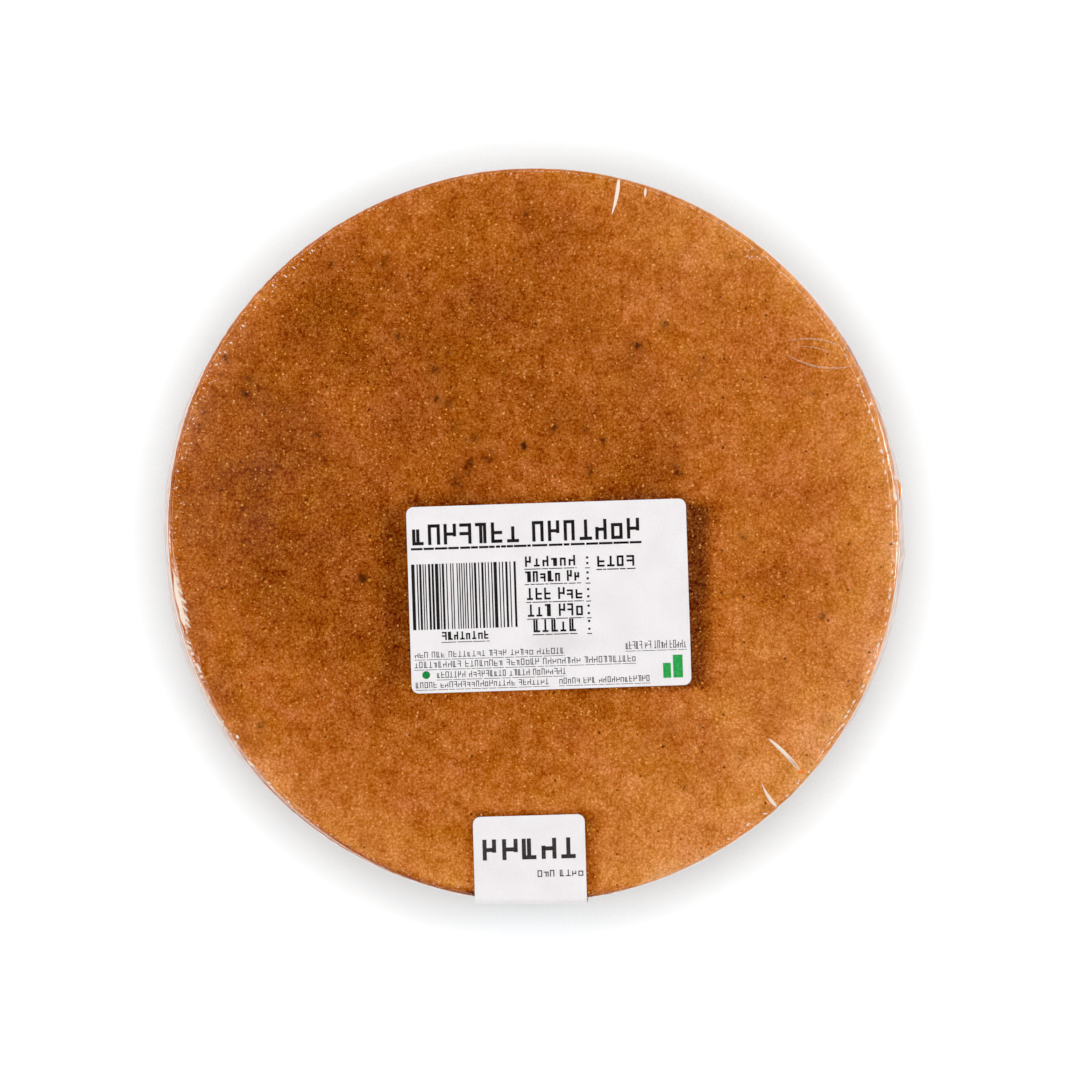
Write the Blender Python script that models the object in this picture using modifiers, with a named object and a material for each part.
"""A stack of khakhras sealed in clear shrink film, with two paper labels.

A khakhra is a thin, crisp, roasted wheat flatbread. The pack lies flat, as it
is stored: the film follows the stack closely, bends round its top and bottom
edges, sags a little between one khakhra and the next, and has a welded seam
at mid-height that runs round the left, front and right sides. One label lies
on the top. The other is folded over the front edge and down the side.

Lengths are in metres and +Z is up. The finished pack stands on z = 0 with the
middle of its bounding box over the origin.
"""

import math
import random
from dataclasses import dataclass

import bmesh
import bpy
from mathutils import Matrix, Vector

# Stack
KHAKHRA_COUNT = 16
KHAKHRA_RADIUS = 0.0983
KHAKHRA_PITCH = 0.0021
STACK_HEIGHT = KHAKHRA_COUNT * KHAKHRA_PITCH

# Unevenness of the stack
SEED = 7
LARGEST_SHIFT = 0.00055
LARGEST_SHORTFALL = 0.0009
TOP_OUTLINE = ((2, 0.00030, -115.0), (3, 0.00021, 118.0), (4, 0.00020, -88.0))
OTHER_OUTLINE_ORDERS = (2, 3, 5)
OTHER_OUTLINE_REACH = 0.00030
TOP_RISE = 0.00035
TOP_RISE_LENGTHS = (0.170, 0.140)

# Rough piece of crust that stands out of one khakhra on the right
CRUST_LAYER = 11
CRUST_ANGLE = 7.0
CRUST_HALF_WIDTH = 3.2
CRUST_REACH = 0.0013

# Film
SHOULDER_RADIUS = 0.0016
SHOULDER_STEPS = 3
FILM_SAG = 0.00045
SEAM_HEIGHT = STACK_HEIGHT / 2
SEAM_REACH = 0.0020
SEAM_HALF_BASE = 0.00045
SEAM_BACK_GAP = (30.0, 150.0)
SEAM_FADE = 14.0
SIDES_ROUND = 96
TOP_RINGS = (0.0, 0.16, 0.32, 0.48, 0.64, 0.80)
BOTTOM_RINGS = (0.5, 0.0)

# Labels
LABEL_THICKNESS = 0.0003
LABEL_CLEARANCE = 0.0003
LABEL_CORNER_RADIUS = 0.002
LABEL_CORNER_STEPS = 3
MAIN_LABEL_SIZE = (0.075, 0.050)
MAIN_LABEL_PLACE = (0.0040, -0.0166)
MAIN_LABEL_TURN = 1.85
MAIN_LABEL_SPACING = 0.010
EDGE_LABEL_SIZE = (0.030, 0.050)
EDGE_LABEL_ON_TOP = 0.0236
EDGE_LABEL_X = -0.0007
EDGE_LABEL_TURN = 1.6
EDGE_LABEL_SPACING = 0.005
FOLD_RADIUS = 0.0013
FOLD_STEPS = 5
WRAP_AT_FOLD = 0.10
WRAP_AT_END = 0.85

# Finishes: colour, roughness, metallic
BREAD_UNDER_FILM = ((0.46, 0.14, 0.026, 1.0), 0.35, 0.0)
LABEL_PAPER = ((0.88, 0.86, 0.86, 1.0), 0.55, 0.0)


@dataclass(frozen=True)
class Khakhra:
    """The outline of one khakhra, as it lies in the stack."""

    radius: float
    shift: tuple
    waves: tuple
    crust_reach: float = 0.0

    def reach(self, angle):
        """How far its edge is from the stack's axis, towards an angle."""
        out = self.radius
        out += self.shift[0] * math.cos(angle) + self.shift[1] * math.sin(angle)
        for order, size, direction in self.waves:
            out += size * math.cos(order * angle - math.radians(direction))
        off = turn_between(math.degrees(angle), CRUST_ANGLE)
        return out + self.crust_reach * max(0.0, 1.0 - off / CRUST_HALF_WIDTH)


def turn_between(first, second):
    """The smaller turn between two directions, in degrees."""
    return abs((first - second + 180.0) % 360.0 - 180.0)


def smooth_step(value):
    """0 below 0, 1 above 1, and an even curve between."""
    value = min(max(value, 0.0), 1.0)
    return value * value * (3.0 - 2.0 * value)


def clear_scene():
    """Remove what the scene holds."""
    for old in list(bpy.data.objects):
        bpy.data.objects.remove(old, do_unlink=True)


def make_stack():
    """The khakhras from the bottom one to the top one."""
    draw = random.Random(SEED)
    stack = []
    for layer in range(KHAKHRA_COUNT - 1):
        away = draw.uniform(0.0, 2.0 * math.pi)
        shift = draw.uniform(0.2, 1.0) * LARGEST_SHIFT
        waves = tuple(
            (order, draw.uniform(0.2, 1.0) * OTHER_OUTLINE_REACH, draw.uniform(0.0, 360.0))
            for order in OTHER_OUTLINE_ORDERS
        )
        stack.append(
            Khakhra(
                radius=KHAKHRA_RADIUS - draw.uniform(0.0, 1.0) * LARGEST_SHORTFALL,
                shift=(shift * math.cos(away), shift * math.sin(away)),
                waves=waves,
                crust_reach=CRUST_REACH if layer == CRUST_LAYER else 0.0,
            )
        )
    stack.append(Khakhra(radius=KHAKHRA_RADIUS, shift=(0.0, 0.0), waves=TOP_OUTLINE))
    return stack


def film_reach(stack, angle, height):
    """How far the film is from the axis: out over each edge, and in between two."""
    place = min(max(height / KHAKHRA_PITCH - 0.5, 0.0), KHAKHRA_COUNT - 1.0)
    below = math.floor(place)
    above = min(below + 1, KHAKHRA_COUNT - 1)
    share = place - below
    edge = (1.0 - share) * stack[below].reach(angle) + share * stack[above].reach(angle)
    return edge - FILM_SAG * math.sin(math.pi * share)


def seam_reach(angle):
    """How far the seam stands out. The film is folded at the back, with no seam,
    and under the label the seam is pressed flat."""
    direction = math.degrees(angle) % 360.0
    start, end = SEAM_BACK_GAP
    middle = (start + end) / 2
    past_gap = turn_between(direction, middle) - (end - start) / 2
    label_half_angle = math.degrees(EDGE_LABEL_SIZE[0] / 2 / KHAKHRA_RADIUS)
    past_label = turn_between(direction, 270.0) - label_half_angle - 2.0
    return SEAM_REACH * smooth_step(past_gap / SEAM_FADE) * smooth_step(past_label / SEAM_FADE)


def top_rise(x, y):
    """How far the waviness of the bread lifts the top of the pack at a place."""
    along, across = TOP_RISE_LENGTHS
    return TOP_RISE * math.sin(2 * math.pi * x / along) * math.cos(2 * math.pi * y / across)


def film_profile():
    """Points of the pack's outline from the top's middle, round the side, to the
    bottom's middle, before the stack's unevenness."""
    radius, height, shoulder = KHAKHRA_RADIUS, STACK_HEIGHT, SHOULDER_RADIUS
    bends = [math.pi / 2 * step / SHOULDER_STEPS for step in range(SHOULDER_STEPS + 1)]
    top = [(share * radius, height) for share in TOP_RINGS]
    upper = [(radius - shoulder * (1 - math.sin(b)), height - shoulder * (1 - math.cos(b))) for b in bends]
    lower = [(r, height - z) for r, z in reversed(upper)]
    heights = [KHAKHRA_PITCH * half / 2 for half in range(2 * KHAKHRA_COUNT)]
    heights += [SEAM_HEIGHT - SEAM_HALF_BASE, SEAM_HEIGHT + SEAM_HALF_BASE]
    side = [(radius, z) for z in sorted(heights, reverse=True) if shoulder < z < height - shoulder]
    bottom = [(share * radius, 0.0) for share in BOTTOM_RINGS]
    return top + upper + side + lower + bottom


def new_object(name, mesh, finish, collection):
    """An object in the part's collection, with a material of its own."""
    made = bpy.data.objects.new(name, mesh)
    collection.objects.link(made)
    colour, roughness, metallic = finish
    material = bpy.data.materials.new(name)
    material.use_nodes = True
    shader = material.node_tree.nodes["Principled BSDF"]
    shader.inputs["Base Color"].default_value = colour
    shader.inputs["Roughness"].default_value = roughness
    shader.inputs["Metallic"].default_value = metallic
    material.diffuse_color = colour
    made.data.materials.append(material)
    return made


def apply_modifiers(made):
    """Replace an object's mesh by the one that its modifiers make."""
    graph = bpy.context.evaluated_depsgraph_get()
    finished = bpy.data.meshes.new_from_object(made.evaluated_get(graph))
    finished.name = made.name
    made.modifiers.clear()
    made.data = finished


def make_wrapped_stack(stack, collection):
    """The stack in its film: the outline turned about the axis, then moved out or
    in at each height and angle to where the khakhras hold it."""
    profile = film_profile()
    mesh = bpy.data.meshes.new("wrapped_stack")
    mesh.from_pydata([(r, 0.0, z) for r, z in profile], [(i, i + 1) for i in range(len(profile) - 1)], [])
    made = new_object("wrapped_stack", mesh, BREAD_UNDER_FILM, collection)
    turn = made.modifiers.new("Turn", "SCREW")
    turn.axis = "Z"
    turn.steps = turn.render_steps = SIDES_ROUND
    turn.use_merge_vertices = True
    turn.merge_threshold = 0.00001
    apply_modifiers(made)
    for vertex in made.data.vertices:
        x, y, z = vertex.co
        angle = math.atan2(y, x)
        share = math.hypot(x, y) / KHAKHRA_RADIUS
        reach = share * film_reach(stack, angle, z)
        if share > 0.99 and abs(z - SEAM_HEIGHT) < SEAM_HALF_BASE / 2:
            reach += seam_reach(angle)
        x, y = reach * math.cos(angle), reach * math.sin(angle)
        vertex.co = (x, y, z * (1.0 + top_rise(x, y) / STACK_HEIGHT))
    made.data.shade_smooth()
    made.data.set_sharp_from_angle(angle=math.radians(40.0))
    return made


def cut_sheet(size, turn, place, scores_x, scores_y):
    """A flat rectangle of paper with rounded corners, turned and put in its place,
    with an edge across it wherever it will bend."""
    sheet = bmesh.new()
    bmesh.ops.create_grid(sheet, x_segments=1, y_segments=1, size=0.5)
    bmesh.ops.scale(sheet, vec=(size[0], size[1], 1.0), verts=sheet.verts)
    bmesh.ops.bevel(
        sheet,
        geom=sheet.verts[:],
        offset=LABEL_CORNER_RADIUS,
        offset_type="OFFSET",
        segments=LABEL_CORNER_STEPS,
        profile=0.5,
        affect="VERTICES",
    )
    bmesh.ops.rotate(sheet, cent=(0, 0, 0), matrix=Matrix.Rotation(math.radians(turn), 3, "Z"), verts=sheet.verts)
    bmesh.ops.translate(sheet, vec=(place[0], place[1], 0.0), verts=sheet.verts)
    for axis, scores in (("X", scores_x), ("Y", scores_y)):
        for score in scores:
            point = Vector((score, 0, 0)) if axis == "X" else Vector((0, score, 0))
            normal = Vector((1, 0, 0)) if axis == "X" else Vector((0, 1, 0))
            everything = sheet.verts[:] + sheet.edges[:] + sheet.faces[:]
            bmesh.ops.bisect_plane(sheet, geom=everything, dist=1e-6, plane_co=point, plane_no=normal)
    return sheet


def spaced(start, end, spacing):
    """Even places from one length to another, about a spacing apart."""
    count = max(1, round(abs(end - start) / spacing))
    return [start + (end - start) * step / count for step in range(count + 1)]


def lay_sheet(name, sheet, place_of, collection):
    """Move a cut sheet to where it lies and give it its thickness."""
    for vertex in sheet.verts:
        vertex.co = place_of(vertex.co.x, vertex.co.y)
    mesh = bpy.data.meshes.new(name)
    sheet.to_mesh(mesh)
    sheet.free()
    made = new_object(name, mesh, LABEL_PAPER, collection)
    paper = made.modifiers.new("Paper", "SOLIDIFY")
    paper.thickness = LABEL_THICKNESS
    paper.offset = 1.0
    apply_modifiers(made)
    return made


def make_main_label(collection):
    """The large label, which lies on the top and follows its slight waves."""
    x, y = MAIN_LABEL_PLACE
    half_x, half_y = MAIN_LABEL_SIZE[0] / 2, MAIN_LABEL_SIZE[1] / 2
    sheet = cut_sheet(
        MAIN_LABEL_SIZE,
        MAIN_LABEL_TURN,
        MAIN_LABEL_PLACE,
        spaced(x - half_x, x + half_x, MAIN_LABEL_SPACING),
        spaced(y - half_y, y + half_y, MAIN_LABEL_SPACING),
    )

    def on_top(flat_x, flat_y):
        return (flat_x, flat_y, STACK_HEIGHT + top_rise(flat_x, flat_y) + LABEL_CLEARANCE)

    return lay_sheet("main_label", sheet, on_top, collection)


def front_reach(stack):
    """How far the foremost khakhra reaches under the folded label."""
    half = EDGE_LABEL_SIZE[0] / 2 / KHAKHRA_RADIUS
    steps = [-math.pi / 2 + half * step / 4 for step in range(-4, 5)]
    return max(khakhra.reach(angle) * -math.sin(angle) for khakhra in stack for angle in steps)


def make_edge_label(stack, collection):
    """The small label, folded over the front edge in a straight line. Paper can't
    follow a round edge, so its corners stand off there, and it comes to lie round
    the side further down."""
    face = -(front_reach(stack) + LABEL_CLEARANCE)
    bend_start = face + FOLD_RADIUS
    bend_length = math.pi / 2 * FOLD_RADIUS
    inner_end = bend_start + EDGE_LABEL_ON_TOP - FOLD_RADIUS
    outer_end = inner_end - EDGE_LABEL_SIZE[1]
    bend_end = bend_start - bend_length
    half_x = EDGE_LABEL_SIZE[0] / 2
    scores_y = spaced(inner_end, bend_start, EDGE_LABEL_SPACING)
    scores_y += [bend_start - bend_length * step / FOLD_STEPS for step in range(1, FOLD_STEPS)]
    scores_y += spaced(bend_end, outer_end, EDGE_LABEL_SPACING)
    sheet = cut_sheet(
        EDGE_LABEL_SIZE,
        EDGE_LABEL_TURN,
        (EDGE_LABEL_X, (inner_end + outer_end) / 2),
        spaced(EDGE_LABEL_X - half_x, EDGE_LABEL_X + half_x, EDGE_LABEL_SPACING),
        scores_y,
    )

    def folded(flat_x, flat_y):
        top_y = max(flat_y, bend_start)
        top_z = STACK_HEIGHT + top_rise(flat_x, top_y) + LABEL_CLEARANCE
        past = bend_start - flat_y
        if past <= 0.0:
            return (flat_x, flat_y, top_z)
        bend = min(past / FOLD_RADIUS, math.pi / 2)
        y = bend_start - FOLD_RADIUS * math.sin(bend)
        z = top_z - FOLD_RADIUS * (1.0 - math.cos(bend)) - max(0.0, past - bend_length)
        down = max(0.0, past - bend_length) / (bend_end - outer_end)
        wrap = WRAP_AT_FOLD + (WRAP_AT_END - WRAP_AT_FOLD) * smooth_step(down)
        hollow = KHAKHRA_RADIUS - math.sqrt(KHAKHRA_RADIUS**2 - flat_x**2)
        return (flat_x, y + wrap * hollow * math.sin(bend), z)

    return lay_sheet("edge_label", sheet, folded, collection)


def stand_on_origin(parts):
    """Bring the middle of the parts' common bounding box over the origin, and
    their lowest point to z = 0."""
    corners = [vertex.co for part in parts for vertex in part.data.vertices]
    low = Vector([min(corner[axis] for corner in corners) for axis in range(3)])
    high = Vector([max(corner[axis] for corner in corners) for axis in range(3)])
    middle = (low + high) / 2
    shift = Matrix.Translation((-middle.x, -middle.y, -low.z))
    for part in parts:
        part.data.transform(shift)


def main():
    """Model the pack."""
    clear_scene()
    collection = bpy.data.collections.new("khakhra_pack")
    bpy.context.scene.collection.children.link(collection)
    stack = make_stack()
    parts = [
        make_wrapped_stack(stack, collection),
        make_main_label(collection),
        make_edge_label(stack, collection),
    ]
    stand_on_origin(parts)


if __name__ == "__main__":
    main()
